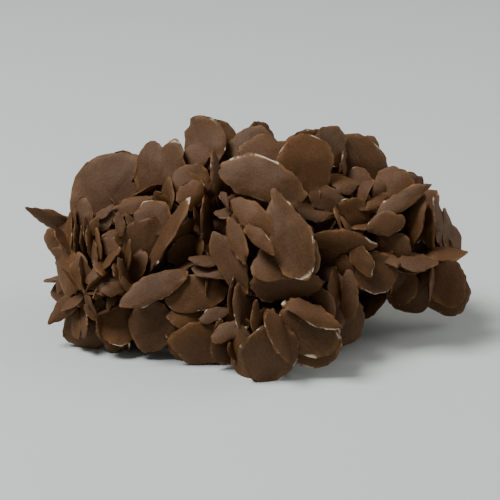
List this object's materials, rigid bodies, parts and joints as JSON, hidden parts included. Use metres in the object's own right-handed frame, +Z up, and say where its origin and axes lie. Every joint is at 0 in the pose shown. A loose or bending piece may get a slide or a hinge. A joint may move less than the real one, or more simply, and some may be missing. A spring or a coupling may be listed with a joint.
{
  "type": "sand rose",
  "caption": "Natural cluster of brown lens-shaped gypsum crystals grown through one another, resting on the worn tips of its lower blades.",
  "frame": {"origin": "middle of the footprint, on the surface the cluster rests on", "axes": "+X along the cluster's length, +Y to its far side, +Z up; the side shown faces -Y"},
  "size_m": [0.2042, 0.1184, 0.0963],
  "materials": {
    "gypsum": "satin, faintly sandy, with paler worn rims"
  },
  "bodies": {
    "root": {"sand_rose": "gypsum"}
  },
  "joints": []
}
